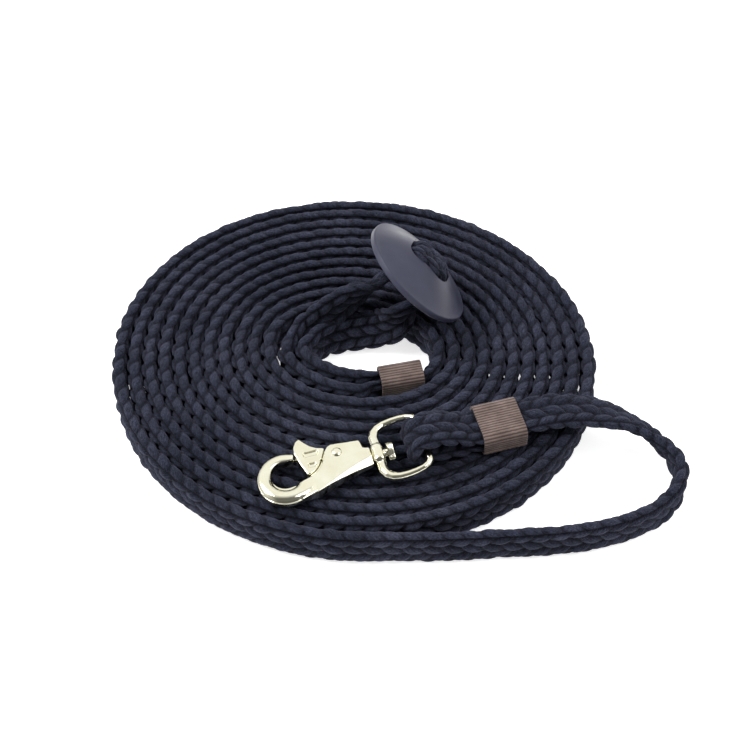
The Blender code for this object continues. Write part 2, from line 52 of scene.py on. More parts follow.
# Coil
COIL_CENTRE = Vector((-0.0234, -0.0028, 0.0))
OUTER_CENTRE, OUTER_RADII = Vector((0.0012, 0.0048, 0)), (0.1459, 0.1288)
INNER_CENTRE, INNER_RADII = Vector((0.0012, 0.0116, 0)), (0.0476, 0.0322)
SPIRAL_TURNS, COIL_END = 11.0, 10.835
COIL_START_ANGLE, COIL_TILT = math.radians(-83), math.radians(-6.5)
HAND_PLY, HAND_LOOP_FROM_END = 0.0104, 0.18

# Snap line
SNAP_HEADING, BOW_PITCH, SNAP_PITCH = math.radians(16), math.radians(12), math.radians(2)
CROSSBAR = COIL_CENTRE + Vector((0.0139, -0.0745, 0.0320))
BOW_LENGTH, BOW_BAR_RADIUS = 0.027, 0.0026
PIVOT = (-0.0229, 0.0065)

# Sleeves
TAPE, SLEEVE_LENGTH, SNAP_SLEEVE_FROM_BAR = 0.001, 0.026, 0.046
TAPE_LAP, LAP_SHARE, LAP_FADE = 0.0007, 0.62, 0.10     # thickness, share of the way round, fading out
TAPE_AROUND = 144                  # points round a sleeve
STITCH_SIZE, STITCHES, STITCH_INSET = (0.00095, 0.00028, 0.00028), 9, 0.018
HAND_SLEEVE_CENTRE = COIL_CENTRE + Vector((0.0275, -0.0098, ROPE_WIDTH / 2 + TAPE + GAP))
HAND_SLEEVE_HEADING = math.radians(12)

# Rubber stop
STOP_RADIUS, STOP_RIM, STOP_CROWN = 0.037, 0.0020, 0.0140
STOP_DOME_MARGIN, STOP_RIM_ROUND = 0.0008, 0.0009
STOP_NORMAL = Vector((0.68, 0.215, 0.70)).normalized()
STOP_SLOT_LINE = Vector((0.705, -0.455, -0.544))
STOP_CENTRE_XY = COIL_CENTRE + Vector((0.0376, 0.0450, 0))
SLOT_OFFSET, BAR_TOP = 0.0115, 0.0085
SLOT_CORNER, BAR_CORNER = 0.0034, 0.0085
CREST_THICKNESS, CREST_BEND = 0.0074, 0.0052           # the rope where it crosses the bar
STOP_SQUEEZE = (0.92, 0.52)        # the rope's share of its width, on the stop's bar and in its slots

# Braid: columns of strands round the rope, as (width, segments). The wide ones are the narrow edges.
BRAID_COLUMNS = [(0.0096, 6), (0.0070, 4), (0.0070, 4), (0.0070, 4)] * 2
EDGE_COLUMNS = (0, len(BRAID_COLUMNS) // 2)
BRAID_PITCH, BRAID_STEPS = 0.0112, 6
BRAID_LEAN, BRAID_LEAN_WIDTH = 0.0052, 0.007           # a strand runs this far along, over this width
BRAID_DEPTH = 0.0024
EDGE_FILL = 0.16                   # how much of the hollows between strands is filled on the narrow edges
PRESSING = 1.09                    # neighbouring turns sink into each other by this much
CORNER_RADIUS = 0.0041

# Castings
VOXEL, BOW_VOXEL = 0.0003, 0.00035
HOOK_FROM, HOOK_EASE = -0.040, 0.010                   # where the round section starts, and how gently
HOOK_MIDDLE, HOOK_MIDDLE_RADIUS, HOOK_HALF_WIDTH = (-0.0548, -0.0008), 0.0126, 0.0046
CREASE_START, CREASE_FALL, CREASE_WIDTH = -0.0055, 0.55, 0.0048
SHANK_FROM, SHANK_EASE = -0.050, 0.008
CHEEK_FACE, RIVET_RADIUS, RIVET_BORE_RADIUS, RIVET_DOME = 0.0039, 0.0030, 0.0016, 0.0013

# Camera and light
CAMERA_AIM = COIL_CENTRE + Vector((0.0102, 0.0107, 0))
CAMERA_DISTANCE, CAMERA_RISE, CAMERA_LENS = 1.14, math.radians(52), 89.85
SOFT_LIGHTS = [((-1.2, 0.1, 1.5), 0.9, 26), ((0.9, -0.4, 1.4), 0.9, 9)]    # place, size, power
FLOOR_HALF_SIZE, FLOOR_GLOW = 4, 0.70
DARK_SIDE = (0.05, -0.78, 0.62)    # the part of the room that is kept dark, for shape in the brass


# ---------------------------------------------------------------- nodes and materials

class Shader:
    """A material with its Principled shader and short ways to add nodes."""

    def __init__(self, name, **constants):
        self.material = bpy.data.materials.new(name)
        self.material.use_nodes = True
        self.nodes = self.material.node_tree.nodes
        self.links = self.material.node_tree.links
        self.shader = self.nodes["Principled BSDF"]
        for label, value in constants.items():
            self.shader.inputs[label.replace("_", " ")].default_value = value

    def node(self, kind, inputs=None, **settings):
        made = self.nodes.new(kind)
        for label, value in settings.items():
            setattr(made, label, value)
        for label, value in (inputs or {}).items():
            if isinstance(value, bpy.types.NodeSocket):
                self.links.new(value, made.inputs[label])
            else:
                made.inputs[label].default_value = value
        return made

    def noise(self, vector, scale, detail=3.0, roughness=0.55):
        made = self.node("ShaderNodeTexNoise", {"Vector": vector, "Scale": scale, "Detail": detail,
                                                "Roughness": roughness})
        return made.outputs["Fac"]

    def ramp(self, factor, *stops):
        made = self.node("ShaderNodeValToRGB", {"Fac": factor})
        elements = made.color_ramp.elements
        while len(elements) < len(stops):
            elements.new(0.5)
        for element, (position, colour) in zip(elements, stops):
            element.position = position
            element.color = (*colour, 1) if len(colour) == 3 else (colour[0], colour[0], colour[0], 1)
        return made.outputs["Color"]

    def math(self, operation, first, second=0.0):
        return self.node("ShaderNodeMath", {0: first, 1: second}, operation=operation).outputs[0]

    def multiply(self, *colours):
        product = colours[0]
        for colour in colours[1:]:
            product = self.node("ShaderNodeMix", {0: 1.0, 6: product, 7: colour}, data_type="RGBA",
                                blend_type="MULTIPLY").outputs[2]
        return product

    def place(self, scale=(1, 1, 1), uv=None):
        if uv:
            vector = self.node("ShaderNodeUVMap", uv_map=uv).outputs["UV"]
        else:
            vector = self.node("ShaderNodeTexCoord").outputs["Object"]
        return self.node("ShaderNodeMapping", {"Vector": vector, "Scale": scale}).outputs["Vector"]

    def bump(self, height, distance, strength=1.0, under=None):
        inputs = {"Height": height, "Distance": distance, "Strength": strength}
        if under is not None:
            inputs["Normal"] = under
        return self.node("ShaderNodeBump", inputs).outputs["Normal"]

    def feed(self, label, socket):
        self.links.new(socket, self.shader.inputs[label])


def rope_material():
    look = Shader("braided_cotton", Roughness=0.95, Sheen_Weight=0.12, Sheen_Roughness=0.5)
    look.shader.inputs["Sheen Tint"].default_value = (0.60, 0.62, 0.85, 1)
    look.shader.inputs["Specular IOR Level"].default_value = 0.1
    yarn = look.noise(look.place((220, 2400, 1), uv="yarn"), 1.0, 2.0)
    fibre = look.noise(look.place(), 1500.0, 4.0, 0.7)
    patches = look.noise(look.place(), 26.0, 4.0)
    relief = look.node("ShaderNodeSeparateXYZ", {"Vector": look.place(uv="relief")})
    dye = look.ramp(patches, (0.30, (0.016, 0.019, 0.033)), (0.70, (0.036, 0.039, 0.062)))
    threads = look.ramp(yarn, (0.30, (0.40,)), (0.70, (1.45,)))
    lint = look.ramp(look.noise(look.place(), 750.0, 3.0, 0.9), (0.32, (0.40,)), (0.68, (1.75,)))
    # painted shade: the colour darkens where the strands' swell is low, in the hollows round each strand
    painted_hollow_shade = look.ramp(relief.outputs["X"], (0.05, (0.22,)), (0.80, (1.0,)))
    strands = look.ramp(relief.outputs["Y"], (0.0, (0.80,)), (1.0, (1.15,)))
    look.feed("Base Color", look.multiply(dye, threads, lint, painted_hollow_shade, strands))
    coarse = look.bump(yarn, 0.0006, 0.9)
    look.feed("Normal", look.bump(fibre, 0.0005, 0.7, coarse))
    return look.material


def tape_material():
    """Ribs run along X, and warp threads cross them."""
    look = Shader("woven_tape", Roughness=0.8, Sheen_Weight=0.2, Sheen_Roughness=0.4)
    look.shader.inputs["Specular IOR Level"].default_value = 0.25
    along = look.place(uv="weave")
    ribs = look.node("ShaderNodeTexWave", {"Vector": along, "Scale": 185.0, "Distortion": 0.8, "Detail": 1.0,
                                           "Detail Scale": 3.0}, bands_direction="Y").outputs["Fac"]
    threads = look.node("ShaderNodeTexWave", {"Vector": along, "Scale": 320.0, "Distortion": 0.8},
                        bands_direction="X").outputs["Fac"]
    weave = look.math("MULTIPLY", ribs, look.math("ADD", look.math("MULTIPLY", threads, 0.25), 0.75))
    patches = look.noise(look.place(), 120.0, 4.0)
    dye = look.ramp(patches, (0.30, (0.125, 0.088, 0.078)), (0.75, (0.225, 0.165, 0.148)))
    shade = look.ramp(weave, (0.10, (0.42,)), (0.65, (1.15,)))
    look.feed("Base Color", look.multiply(dye, shade))
    fibre = look.noise(look.place(), 2500.0, 3.0)
    look.feed("Normal", look.bump(weave, 0.0003, 0.9, look.bump(fibre, 0.0002, 0.5)))
    return look.material


def thread_material():
    look = Shader("sewing_thread", Roughness=0.7, Sheen_Weight=0.2)
    twist = look.node("ShaderNodeTexWave", {"Vector": look.place(), "Scale": 900.0},
                      bands_direction="DIAGONAL").outputs["Fac"]
    look.feed("Base Color", look.ramp(twist, (0.2, (0.10, 0.070, 0.058)), (0.8, (0.23, 0.165, 0.140))))
    look.feed("Normal", look.bump(twist, 0.0001, 0.8))
    return look.material


def rubber_material():
    look = Shader("moulded_rubber", Roughness=0.42)
    look.shader.inputs["Specular IOR Level"].default_value = 0.35
    patches = look.noise(look.place(), 45.0, 5.0, 0.6)
    specks = look.noise(look.place(), 900.0, 3.0, 0.7)
    look.feed("Base Color", look.ramp(patches, (0.25, (0.030, 0.031, 0.056)), (0.75, (0.046, 0.048, 0.082))))
    look.feed("Roughness", look.ramp(patches, (0.3, (0.34,)), (0.7, (0.52,))))
    look.feed("Normal", look.bump(specks, 0.00006, 0.6, look.bump(patches, 0.0005, 0.25)))
    return look.material


def brass_material():
    look = Shader("polished_brass", Metallic=1.0)
    patches = look.noise(look.place(), 90.0, 4.0)
    scratches = look.noise(look.place((300, 2600, 2600)), 1.0, 3.0)
    look.feed("Base Color", look.ramp(patches, (0.30, (0.82, 0.79, 0.60)), (0.75, (0.90, 0.88, 0.72))))
    look.feed("Roughness", look.ramp(patches, (0.25, (0.07,)), (0.80, (0.18,))))
    look.feed("Normal", look.bump(scratches, 0.00003, 0.35, look.bump(patches, 0.0004, 0.22)))
    return look.material


def steel_material():
    look = Shader("drawn_wire", Metallic=1.0, Roughness=0.32)
    drawn = look.noise(look.place(), 1800.0, 3.0)
    look.feed("Base Color", look.ramp(drawn, (0.3, (0.42, 0.42, 0.43)), (0.7, (0.60, 0.60, 0.60))))
    look.feed("Normal", look.bump(drawn, 0.00003, 0.5))
    return look.material


# ---------------------------------------------------------------- meshes

def add(name, data, material, smooth=True):
    made = bpy.data.objects.new(name, data)
    bpy.context.scene.collection.objects.link(made)
    data.materials.append(material)
    if smooth:
        data.shade_smooth()
    return made


def mesh_of(name, points, faces):
    data = bpy.data.meshes.new(name)
    data.from_pydata([tuple(p) for p in points], [], [tuple(f) for f in faces])
    shape = bmesh.new()
    shape.from_mesh(data)
    bmesh.ops.recalc_face_normals(shape, faces=shape.faces)
    shape.to_mesh(data)
    shape.free()
    return data


def grid_faces(rows, columns, ring=True, loop=False):
    """Quads between rows of points. ring closes each row, and loop closes the last row on to the first."""
    across = columns if ring else columns - 1
    down = rows if loop else rows - 1
    faces = []
    for j in range(down):
        for i in range(across):
            a, b = j * columns + i, j * columns + (i + 1) % columns
            c, d = ((j + 1) % rows) * columns + (i + 1) % columns, ((j + 1) % rows) * columns + i
            faces.append((a, b, c, d))
    return faces


def arc(centre, radius, start, end, count):
    angles = (math.radians(start + (end - start) * i / (count - 1)) for i in range(count))
    return [(centre[0] + radius * math.cos(a), centre[1] + radius * math.sin(a)) for a in angles]


def rounded_box(half_x, half_y, corner, middle_x=0.0):
    """The outline of a rectangle with rounded corners, anticlockwise from its right side."""
    outline = []
    for quarter, (side, face) in enumerate([(1, 1), (-1, 1), (-1, -1), (1, -1)]):
        centre = (middle_x + side * (half_x - corner), face * (half_y - corner))
        outline += arc(centre, corner, 90 * quarter, 90 * quarter + 90, 9)
    return outline


def travelled(points):
    """The distance run along the points, up to each of them."""
    return np.concatenate([[0], np.cumsum(np.linalg.norm(np.diff(points, axis=0), axis=1))])


def wander(share, waves, seed):
    """A smooth random value from -1 to 1 along something, for share from 0 to 1."""
    source = np.random.default_rng(seed)
    phases, speeds = source.uniform(0, math.tau, 4), waves * source.uniform(0.6, 1.4, 4)
    return sum(np.sin(math.tau * share * speed + phase) for speed, phase in zip(speeds, phases)) / 4


# ---------------------------------------------------------------- the rope's route

def coil_point(turns, inward=0.0):
    share = turns / SPIRAL_TURNS
    angle = COIL_START_ANGLE - COIL_TILT - math.tau * turns
    centre = OUTER_CENTRE.lerp(INNER_CENTRE, share)
    across = OUTER_RADII[0] + (INNER_RADII[0] - OUTER_RADII[0]) * share
    along = OUTER_RADII[1] + (INNER_RADII[1] - OUTER_RADII[1]) * share
    spoke = Vector((across * math.cos(angle), along * math.sin(angle), 0))
    outward = Vector((along * math.cos(angle), across * math.sin(angle), 0)).normalized()
    return COIL_CENTRE + centre + Matrix.Rotation(COIL_TILT, 3, "Z") @ (spoke - outward * inward)


def smooth_route(knots, step=0.002):
    """A smooth curve through the knots, read every step. A knot is (place, width direction, thickness)."""
    places = [Vector(place) for place, _, _ in knots]
    widths = [Vector(width).normalized() for _, width, _ in knots]
    thicknesses = [thickness for _, _, thickness in knots]
    route = []
    for i in range(len(knots) - 1):
        before = places[max(i - 1, 0)]
        after = places[min(i + 2, len(knots) - 1)]
        start, end = places[i], places[i + 1]
        length = (end - start).length
        leave = (end - before).normalized() * length
        arrive = (after - start).normalized() * length
        pieces = max(1, round(length / step))
        for k in range(pieces):
            t = k / pieces
            place = (start * (2 * t**3 - 3 * t**2 + 1) + leave * (t**3 - 2 * t**2 + t)
                     + end * (3 * t**2 - 2 * t**3) + arrive * (t**3 - t**2))
            thickness = thicknesses[i] + (thicknesses[i + 1] - thicknesses[i]) * t
            route.append((place, widths[i].lerp(widths[i + 1], t), thickness))
    return route


def bow_frame():
    turn = Matrix.Rotation(SNAP_HEADING, 4, "Z") @ Matrix.Rotation(-BOW_PITCH, 4, "Y")
    return Matrix.Translation(CROSSBAR) @ turn


def snap_frame():
    turn = Matrix.Rotation(SNAP_HEADING, 4, "Z") @ Matrix.Rotation(-SNAP_PITCH, 4, "Y")
    return Matrix.Translation(CROSSBAR) @ turn


def stop_frame():
    line = (STOP_SLOT_LINE - STOP_NORMAL * STOP_SLOT_LINE.dot(STOP_NORMAL)).normalized()
    side = STOP_NORMAL.cross(line)
    slope = math.sqrt(1 - STOP_NORMAL.z**2)
    height = ROPE_WIDTH + 2 * GAP + STOP_RADIUS * slope + STOP_RIM * STOP_NORMAL.z
    placed = Matrix((line, side, STOP_NORMAL)).transposed().to_4x4()
    placed.translation = STOP_CENTRE_XY + Vector((0, 0, height))
    return placed


def far_bar_centre():
    return bow_frame() @ Vector((BOW_LENGTH, 0, 0))


def on_snap_line(distance, height):
    way = Vector((math.cos(SNAP_HEADING), math.sin(SNAP_HEADING), 0))
    bar = far_bar_centre()
    return Vector((bar.x, bar.y, 0)) + way * distance + Vector((0, 0, height))


def sleeve_height():
    return ROPE_WIDTH + GAP + TAPE + GAP + PRESSED_THICKNESS + GAP / 2


def eye_route():
    """From the rope's end in the snap sleeve, round the bow's far bar and back through the sleeve."""
    flat = Vector((math.sin(SNAP_HEADING), -math.cos(SNAP_HEADING), 0))
    bar = far_bar_centre().z
    fold = BOW_BAR_RADIUS + GAP + ROPE_THICKNESS / 2
    ply = (PRESSED_THICKNESS + GAP) / 2
    middle = sleeve_height()
    sleeve_near = SNAP_SLEEVE_FROM_BAR - SLEEVE_LENGTH / 2
    straight = [sleeve_near + SLEEVE_LENGTH, sleeve_near, sleeve_near - STRAIGHT_LEAD]
    lower = [(x, middle - ply, PRESSED_THICKNESS) for x in straight]
    lower += [(0.017, bar - 0.0078, 0.0084), (0.006, bar - 0.0074, ROPE_THICKNESS)]
    turn = [(x, bar + z, ROPE_THICKNESS) for x, z in arc((0, 0), fold, 270, 90, 9)]
    upper = [(0.006, bar + 0.0071, ROPE_THICKNESS), (0.017, bar + 0.0042, 0.0084)]
    upper += [(x, middle + ply, PRESSED_THICKNESS) for x in reversed(straight)]
    return [(on_snap_line(x, z), flat, thickness) for x, z, thickness in lower + turn + upper]


def free_loop_route():
    """From the snap sleeve down off the coil and round on the floor to the coil's outer end."""
    stand = (0, 0, 1)
    low = ROPE_WIDTH / 2
    floor_route = [(0.045, -0.1240), (0.075, -0.1226), (0.105, -0.1206), (0.131, -0.1175), (0.1525, -0.1120),
                   (0.171, -0.1030), (0.184, -0.0900), (0.1888, -0.0755)]
    climb = [((0.1858, -0.0625, 0.0140), (-0.10, -0.25, 0.95)),
             ((0.1755, -0.0525, 0.0185), (-0.20, -0.45, 0.85)),
             ((0.161, -0.0465, 0.0255), (-0.12, -0.75, 0.62)),
             ((0.141, -0.0445, 0.0320), (-0.05, -0.97, 0.22)),
             ((0.119, -0.0455, 0.0352), (0.15, -0.98, 0.03))]
    knots = [(COIL_CENTRE + Vector((x, y, low)), stand, ROPE_THICKNESS) for x, y in floor_route]
    knots += [(COIL_CENTRE + Vector(place), width, ROPE_THICKNESS) for place, width in climb]
    return knots[::-1]


def coil_route():
    """The turns, each pressed to the room between its neighbours, with a little slack and lean."""
    knots = []
    steps = round(COIL_END * 180)
    for i in range(2, steps + 1):
        turns = COIL_END * i / steps
        neighbour = turns + 1 if turns < COIL_END - 1 else turns - 1
        place = coil_point(turns)
        room = (coil_point(neighbour) - place).length
        share = turns / COIL_END
        outward = (place - coil_point(turns, 0.01)).normalized()
        ease = min(1.0, 14 * share)
        place += outward * 0.00022 * ease * float(wander(share, 42, 3))
        rise = 0.0006 * ease * (1 + float(wander(share, 30, 4)))
        lean = 0.035 * ease * float(wander(share, 22, 5))
        place.z = ROPE_WIDTH / 2 + rise
        knots.append((place, Vector((0, 0, 1)) + outward * lean, min(SLACK_THICKNESS, room * PRESSING)))
    return knots


def hand_loop_route():
    stand = Vector((0, 0, 1))
    low = Vector((0, 0, ROPE_WIDTH / 2 + GAP))
    stop = stop_frame()
    width = stop.to_3x3() @ Vector((0, -1, 0))

    def beside_coil(last, plies, count):
        first = COIL_END + HAND_LOOP_FROM_END
        return [(coil_point(first + (last - first) * i / count - 1, plies * HAND_PLY + GAP) + low,
                 stand, HAND_PLY) for i in range(count + 1)]

    def placed(*places):
        return [(COIL_CENTRE + Vector(place), way, ROPE_THICKNESS) for place, way in places]

    def by_stop(slot, *heights):
        return [(stop @ Vector((slot, 0, height)), width, CREST_THICKNESS) for height in heights]

    along = Vector((math.cos(HAND_SLEEVE_HEADING), math.sin(HAND_SLEEVE_HEADING), 0))
    side = Vector((-along.y, along.x, 0))
    end = SLEEVE_LENGTH / 2

    def in_sleeve(plies):
        return [(HAND_SLEEVE_CENTRE + along * distance + side * plies * (PRESSED_THICKNESS + GAP), stand,
                 PRESSED_THICKNESS) for distance in (end, -end, -end - STRAIGHT_LEAD)]

    outer = in_sleeve(-0.5) + beside_coil(COIL_END + 0.41, 1, 6)
    outer += placed(((-0.0305, 0.0275, 0.0170), (-0.30, 0.30, 0.90)),
                    ((-0.0180, 0.0345, 0.0245), (-0.35, 0.20, 0.90)),
                    ((-0.0050, 0.0395, 0.0350), (-0.35, -0.10, 0.90)))
    outer += by_stop(-SLOT_OFFSET, -0.020, -0.010, 0.0)
    inner = in_sleeve(0.5) + beside_coil(COIL_END + 0.44, 2, 6)
    inner += placed(((-0.0200, 0.0255, 0.0126), (0.00, 0.30, 0.95)),
                    ((-0.0050, 0.0315, 0.0122), (0.00, 0.50, 0.87)),
                    ((0.0070, 0.0325, 0.0138), (-0.10, 0.55, 0.83)),
                    ((0.0175, 0.0315, 0.0185), (-0.25, 0.45, 0.86)),
                    ((0.0250, 0.0300, 0.0275), (-0.30, 0.10, 0.95)),
                    ((0.0330, 0.0330, 0.0365), (-0.26, -0.60, 0.75)))
    inner += by_stop(SLOT_OFFSET, -0.010, -0.005, 0.0)
    bend = CREST_BEND
    crest = BAR_TOP + GAP + CREST_THICKNESS / 2
    corner = arc((-(SLOT_OFFSET - bend), crest - bend), bend, 180, 90, 5)
    corner += [(-x, z) for x, z in reversed(corner)]
    over = [(stop @ Vector((x, 0, z)), width, CREST_THICKNESS) for x, z in corner]
    return outer + over + inner[::-1]


def even_route(step):
    """The whole rope's middle line, width direction and thickness, read every step."""
    knots = eye_route() + free_loop_route() + coil_route() + hand_loop_route()
    route = smooth_route(knots)
    values = np.array([(*place, *width, thickness) for place, width, thickness in route])
    run = travelled(values[:, :3])
    wanted = np.linspace(0, run[-1], int(run[-1] / step))
    return np.stack([np.interp(wanted, run, column) for column in values.T], axis=1)


# ---------------------------------------------------------------- the braided rope

def section_points():
    """The rope's section at full thickness: for each point its place, its outward direction, its share
    across its column from -1 to 1, and the column's number. The first column is one narrow edge."""
    half_width, half_thick = ROPE_WIDTH / 2, ROPE_THICKNESS / 2
    inner_width, inner_thick = half_width - CORNER_RADIUS, half_thick - CORNER_RADIUS
    outline, normals = [], []
    for quarter, (side, face) in enumerate([(1, 1), (-1, 1), (-1, -1), (1, -1)]):
        for angle in np.radians(90 * quarter + np.arange(0, 91, 3)):
            way = np.array([math.cos(angle), math.sin(angle)])
            outline.append(np.array([side * inner_width, face * inner_thick]) + CORNER_RADIUS * way)
            normals.append(way)
    outline, normals = np.array(outline + outline[:1]), np.array(normals + normals[:1])
    run = travelled(outline)
    widths = np.array([width for width, _ in BRAID_COLUMNS])
    borders = np.concatenate([[0], np.cumsum(widths)]) / widths.sum() * run[-1]
    points = []
    for column, (_, segments) in enumerate(BRAID_COLUMNS):
        for k in range(segments):
            at = borders[column] + (borders[column + 1] - borders[column]) * k / segments
            at = (at - borders[1] / 2) % run[-1]
            place = [np.interp(at, run, outline[:, axis]) for axis in (0, 1)]
            normal = np.array([np.interp(at, run, normals[:, axis]) for axis in (0, 1)])
            points.append((*place, *(normal / np.linalg.norm(normal)), 2 * k / segments - 1, column))
    return np.array(points), borders


def squeeze_in_stop(places):
    """The rope's share of its width: full away from the stop, less on its bar, and least in its slots."""
    from_centre = places - np.array(stop_frame().translation)
    along_bar = np.abs(from_centre @ np.array(stop_frame().to_3x3().col[0]))
    on_bar, in_slot = STOP_SQUEEZE
    inside = on_bar + (in_slot - on_bar) * np.clip((along_bar - 0.004) / 0.0075, 0, 1) ** 2
    return 1 - (1 - inside) * np.clip((0.026 - np.linalg.norm(from_centre, axis=1)) / 0.010, 0, 1)


def build_rope(material):
    """One closed skin along the whole route. Each strand of a column is a raised float, and every column
    leans the other way from its neighbours."""
    step = BRAID_PITCH / BRAID_STEPS
    route = even_route(step)
    rings = len(route)
    positions = np.arange(rings) * step
    section, borders = section_points()
    around = len(section)
    columns = section[:, 5].astype(int)
    leaning = np.where(columns % 2 == 0, 1.0, -1.0)
    shift = leaning * section[:, 4] * BRAID_LEAN / 2

    tangents = np.gradient(route[:, :3], axis=0)
    tangents /= np.linalg.norm(tangents, axis=1, keepdims=True)
    widths = route[:, 3:6] - tangents * np.sum(route[:, 3:6] * tangents, axis=1, keepdims=True)
    widths /= np.linalg.norm(widths, axis=1, keepdims=True)
    through = np.cross(tangents, widths)

    narrowing = squeeze_in_stop(route[:, :3])
    lobes = rng.normal(1.0, 0.14, (int(positions[-1] / BRAID_PITCH) + 5, len(BRAID_COLUMNS)))
    shades = rng.uniform(0, 1, lobes.shape)
    points = np.zeros((rings, around, 3))
    relief = np.zeros((rings, around, 2))
    for i in range(around):
        column = columns[i]
        across = section[i, 4]
        phase = positions / BRAID_PITCH + 0.5 * (column % 2)
        filled = EDGE_FILL if column in EDGE_COLUMNS else 0.0
        swell = (filled + (1 - filled) * np.abs(np.sin(math.pi * phase)) ** 0.62) * (1 - across**2) ** 0.5
        height = BRAID_DEPTH * (1 - np.clip(swell * lobes[phase.astype(int), column], 0, 1.15))
        # the swell also sets the painted shade in the hollows, through the relief layer; the second value is
        # a random tone for each strand
        relief[:, i, 0], relief[:, i, 1] = swell, shades[phase.astype(int), column]
        at = np.clip(positions + shift[i], 0, positions[-1])
        squeeze = np.interp(at, positions, route[:, 6]) / ROPE_THICKNESS
        a = section[i, 0] * np.interp(at, positions, narrowing) - section[i, 2] * height
        b = section[i, 1] * squeeze - section[i, 3] * height
        for axis in range(3):
            points[:, i, axis] = (np.interp(at, positions, route[:, axis])
                                  + np.interp(at, positions, widths[:, axis]) * a
                                  + np.interp(at, positions, through[:, axis]) * b)
    points[..., 2] = np.maximum(points[..., 2], 0.0001)

    faces = grid_faces(rings, around) + [range(around), range(around * (rings - 1), around * rings)]
    data = bpy.data.meshes.new("rope_braid")
    data.from_pydata(points.reshape(-1, 3).tolist(), [], [tuple(face) for face in faces])
    yarn_coordinates(data, rings, around, borders, columns, section)
    vertices = np.zeros(len(data.loops), int)
    data.loops.foreach_get("vertex_index", vertices)
    data.uv_layers.new(name="relief").data.foreach_set("uv", relief.reshape(-1, 2)[vertices].reshape(-1))
    rope = add("rope_braid", data, material)
    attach(rope, "rope")
    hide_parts("rope_coil", "rope_free_loop", "rope_snap_eye", "rope_hand_loop")
    return rope, route[:, :3]


def yarn_coordinates(data, rings, around, borders, columns, section):
    """Each face's own place across and along its strand, in metres, so that the yarns follow the strands."""
    column_width = np.diff(borders)
    faces_across = np.tile(np.arange(around), rings - 1)
    faces_along = np.repeat(np.arange(rings - 1), around)
    column = columns[faces_across]
    last = np.append(columns[1:] != columns[:-1], True)[faces_across]
    left = section[faces_across, 4]
    right = np.where(last, 1.0, section[(faces_across + 1) % around, 4])
    lean = np.where(column % 2 == 0, 1.0, -1.0)
    slant = math.atan2(BRAID_LEAN, BRAID_LEAN_WIDTH)
    corners = []
    for side, row in ((left, 0), (right, 0), (right, 1), (left, 1)):
        across = side * column_width[column] / 2
        along = (faces_along + row) * (BRAID_PITCH / BRAID_STEPS) + lean * side * BRAID_LEAN / 2
        corners.append(np.stack([along * math.cos(slant) + across * lean * math.sin(slant),
                                 across * math.cos(slant) - along * lean * math.sin(slant) + column * 0.03],
                                axis=1))
    values = np.stack(corners, axis=1).reshape(-1)
    layer = data.uv_layers.new(name="yarn")
    everything = np.zeros(len(data.loops) * 2)
    everything[:len(values)] = values
    layer.data.foreach_set("uv", everything)


# ---------------------------------------------------------------- tape sleeves

def build_sleeve(name, node, placed, half_width, half_height, seam_at, tape, thread):
    """A band of tape round two plies, lapped over itself. Across the band, Y is width and Z is height."""
    outline = np.array(rounded_box(half_width, half_height, min(half_width, half_height) * 0.62))
    closed = np.vstack([outline, outline[:1]])
    run = travelled(closed)
    at = np.linspace(0, run[-1], TAPE_AROUND, endpoint=False)
    loop = np.stack([np.interp(at, run, closed[:, axis]) for axis in (0, 1)], axis=1)
    way = np.roll(loop, -1, axis=0) - np.roll(loop, 1, axis=0)
    normal = np.stack([way[:, 1], -way[:, 0]], axis=1)
    normal /= np.linalg.norm(normal, axis=1, keepdims=True)
    share = (at / run[-1] - seam_at) % 1.0
    lapped = TAPE_LAP * np.clip((LAP_SHARE - share) / LAP_FADE, 0, 1)
    # The band's section along the rope: place as a share of its length, and 1 for its outer face
    profile = [(-0.5, 0.35), (-0.492, 0.85), (-0.47, 1.0), (-0.25, 1.06), (0, 1.0), (0.25, 1.06), (0.47, 1.0)]
    profile += [(0.492, 0.85), (0.5, 0.35), (0.5, -0.35), (0.49, -0.9), (0, -1.0), (-0.49, -0.9)]
    profile.append((-0.5, -0.35))
    points, weave = [], []
    for x, out in profile:
        offset = TAPE / 2 * (1 + out) + np.where(out > 0, lapped, 0)
        spread = normal * offset[:, None]
        for (y, z), along in zip(loop + spread, at):
            points.append(placed @ Vector((x * SLEEVE_LENGTH, y, z)))
            weave.append((x * SLEEVE_LENGTH, along))
    faces = grid_faces(len(profile), TAPE_AROUND, loop=True)
    data = bpy.data.meshes.new(name)
    data.from_pydata([tuple(p) for p in points], [], faces)
    layer = data.uv_layers.new(name="weave")
    for corner_data, loop_data in zip(layer.data, data.loops):
        corner_data.uv = weave[loop_data.vertex_index]
    sleeve = add(name, data, tape)
    sleeve.data.set_sharp_from_angle(angle=math.radians(50))
    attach(sleeve, "rope")
    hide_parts(node)
    stitches = build_stitches(name + "_stitches", placed, loop, normal, share, lapped, thread)
    return sleeve, stitches


def build_stitches(name, placed, loop, normal, share, lapped, thread):
    """A row of stitches that holds the lap down, just inside its edge."""
    row = int(np.argmin(np.abs(share - STITCH_INSET)))
    y, z = loop[row] + normal[row] * (TAPE + lapped[row] - 0.0001)
    shape = bmesh.new()
    for i in range(STITCHES):
        x = (i - (STITCHES - 1) / 2) * SLEEVE_LENGTH * 0.92 / STITCHES
        tilt = Matrix.Rotation(math.radians(float(rng.uniform(-5, 5))), 4, "Z")
        spot = Matrix.Translation((x, y, z)) @ tilt @ Matrix.Diagonal((*STITCH_SIZE, 1))
        bmesh.ops.create_uvsphere(shape, u_segments=10, v_segments=8, radius=1, matrix=placed @ spot)
    data = bpy.data.meshes.new(name)
    shape.to_mesh(data)
    shape.free()
    stitches = add(name, data, thread)
    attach(stitches, "rope")
    return stitches


# ---------------------------------------------------------------- rubber stop

